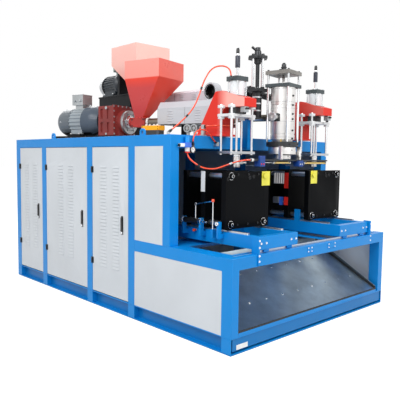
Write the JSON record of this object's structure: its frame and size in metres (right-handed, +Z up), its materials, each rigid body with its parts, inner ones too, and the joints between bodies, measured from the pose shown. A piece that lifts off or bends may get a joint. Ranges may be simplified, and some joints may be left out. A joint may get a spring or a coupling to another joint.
{
  "type": "extrusion blow moulding machine",
  "caption": "Floor-standing extrusion blow moulding machine with twin shuttle mould clamps, blow pins, a die head, two hopper-fed extruders and a louvred cabinet.",
  "frame": {"origin": "on the floor, under the middle of the footprint of the bottom channel frame", "axes": "+Z up, -Y towards the front where the bottles come out, -X towards the side with the doors, +Y along the machine's length"},
  "size_m": [2.1425, 3.412, 2.615],
  "materials": {
    "blue_paint": "semi-gloss",
    "panel_grey": "semi-gloss",
    "hopper_red": "gloss",
    "bracket_red": "semi-gloss",
    "gearbox_red": "semi-gloss",
    "motor_grey": "satin",
    "dark_grey": "satin",
    "black_paint": "satin",
    "cover_grey": "satin",
    "steel": "brushed",
    "stainless": "brushed",
    "chrome": "polished",
    "cast_grey": "satin",
    "knife_blue": "satin",
    "brass": "satin",
    "black_plastic": "matte",
    "hose_orange": "gloss",
    "aluminium_wheel": "satin"
  },
  "bodies": {
    "frame": {"base_frame": "blue_paint", "cabinet_frame": "blue_paint", "deck": "panel_grey", "top_plate": "panel_grey", "left_panels": "panel_grey", "right_panels": "panel_grey", "rear_panel": "panel_grey", "lifting_eyes": "steel", "chute": "stainless", "shuttle_beam": "blue_paint", "linear_rails": "steel", "hinges": "black_paint", "bracket_left": "bracket_red", "bracket_right": "bracket_red", "blow_cylinder_left": "dark_grey", "blow_cylinder_right": "dark_grey", "die_head": "stainless", "die_frame": "cast_grey", "die_ring": "stainless", "knife_cylinders": "brass", "ram_unit": "dark_grey", "skid_left": "blue_paint", "motor_left": "motor_grey", "gearbox_left": "gearbox_red", "thrust_flange": "gearbox_red", "feed_throat_left": "cast_grey", "hopper_left": "hopper_red", "barrel_left": "steel", "cover_left": "cover_grey", "barrel_fans": "black_paint", "cooling_unit": "motor_grey", "drive_stand_right": "black_paint", "motor_right": "motor_grey", "feed_throat_right": "cast_grey", "hopper_right": "hopper_red", "barrel_right": "steel", "cover_right": "cover_grey", "blower_housing": "motor_grey", "air_unit": "steel", "hose_arch": "hose_orange", "hose_loop": "hose_orange", "hose_side": "hose_orange", "hose_sag": "hose_orange"},
    "door_1": {"door_1": "panel_grey"},
    "door_2": {"door_2": "panel_grey"},
    "door_3": {"door_3": "panel_grey"},
    "lever_1": {"lock_lever_1": "black_plastic"},
    "lever_2": {"lock_lever_2": "black_plastic"},
    "lever_3": {"lock_lever_3": "black_plastic"},
    "carriage_left": {"carriage_left": "blue_paint"},
    "carriage_right": {"carriage_right": "blue_paint"},
    "clamp_left": {"clamp_frame_left": "black_paint"},
    "clamp_right": {"clamp_frame_right": "black_paint"},
    "platen_left": {"moving_platen_left": "black_paint"},
    "platen_right": {"moving_platen_right": "black_paint"},
    "blow_pin_left": {"blow_pin_left": "chrome"},
    "blow_pin_right": {"blow_pin_right": "chrome"},
    "knife_left": {"knife_left": "knife_blue"},
    "knife_right": {"knife_right": "knife_blue"},
    "blower_wheel": {"blower_wheel": "aluminium_wheel"}
  },
  "joints": [
    {"name": "door_1_hinge", "type": "hinge", "parent": "frame", "child": "door_1", "pos_m": [-1.072, 1.608, 0.8], "axis": [0, 0, -1], "range_deg": [0, 110]},
    {"name": "lever_1_pivot", "type": "hinge", "parent": "door_1", "child": "lever_1", "pos_m": [-1.0714, 1.169, 0.744], "axis": [0, -1, 0], "range_deg": [0, 60]},
    {"name": "door_2_hinge", "type": "hinge", "parent": "frame", "child": "door_2", "pos_m": [-1.072, 0.988, 0.8], "axis": [0, 0, -1], "range_deg": [0, 110]},
    {"name": "lever_2_pivot", "type": "hinge", "parent": "door_2", "child": "lever_2", "pos_m": [-1.0714, 0.269, 0.744], "axis": [0, -1, 0], "range_deg": [0, 60]},
    {"name": "door_3_hinge", "type": "hinge", "parent": "frame", "child": "door_3", "pos_m": [-1.072, 0.088, 0.8], "axis": [0, 0, -1], "range_deg": [0, 110]},
    {"name": "lever_3_pivot", "type": "hinge", "parent": "door_3", "child": "lever_3", "pos_m": [-1.0714, -0.391, 0.744], "axis": [0, -1, 0], "range_deg": [0, 60]},
    {"name": "carriage_left_slide", "type": "slide", "parent": "frame", "child": "carriage_left", "axis": [1, 0, 0], "range_m": [0, 0.539]},
    {"name": "clamp_left_slide", "type": "slide", "parent": "carriage_left", "child": "clamp_left", "axis": [0, 1, 0], "range_m": [0, 0.044]},
    {"name": "platen_left_slide", "type": "slide", "parent": "carriage_left", "child": "platen_left", "axis": [0, -1, 0], "range_m": [0, 0.044]},
    {"name": "blow_pin_left_slide", "type": "slide", "parent": "frame", "child": "blow_pin_left", "axis": [0, 0, -1], "range_m": [0, 0.045]},
    {"name": "carriage_right_slide", "type": "slide", "parent": "frame", "child": "carriage_right", "axis": [1, 0, 0], "range_m": [-0.539, 0]},
    {"name": "clamp_right_slide", "type": "slide", "parent": "carriage_right", "child": "clamp_right", "axis": [0, 1, 0], "range_m": [0, 0.044]},
    {"name": "platen_right_slide", "type": "slide", "parent": "carriage_right", "child": "platen_right", "axis": [0, -1, 0], "range_m": [0, 0.044]},
    {"name": "blow_pin_right_slide", "type": "slide", "parent": "frame", "child": "blow_pin_right", "axis": [0, 0, -1], "range_m": [0, 0.045]},
    {"name": "knife_left_slide", "type": "slide", "parent": "frame", "child": "knife_left", "axis": [1, 0, 0], "range_m": [0, 0.1]},
    {"name": "knife_right_slide", "type": "slide", "parent": "frame", "child": "knife_right", "axis": [-1, 0, 0], "range_m": [0, 0.06]},
    {"name": "blower_wheel_spin", "type": "hinge", "parent": "frame", "child": "blower_wheel", "pos_m": [-0.09, -0.5, 2.015], "axis": [1, 0, 0], "continuous": true}
  ],
  "couplings": [
    {"joint": "platen_left_slide", "follows": "clamp_left_slide", "ratio": 1},
    {"joint": "platen_right_slide", "follows": "clamp_right_slide", "ratio": 1}
  ]
}
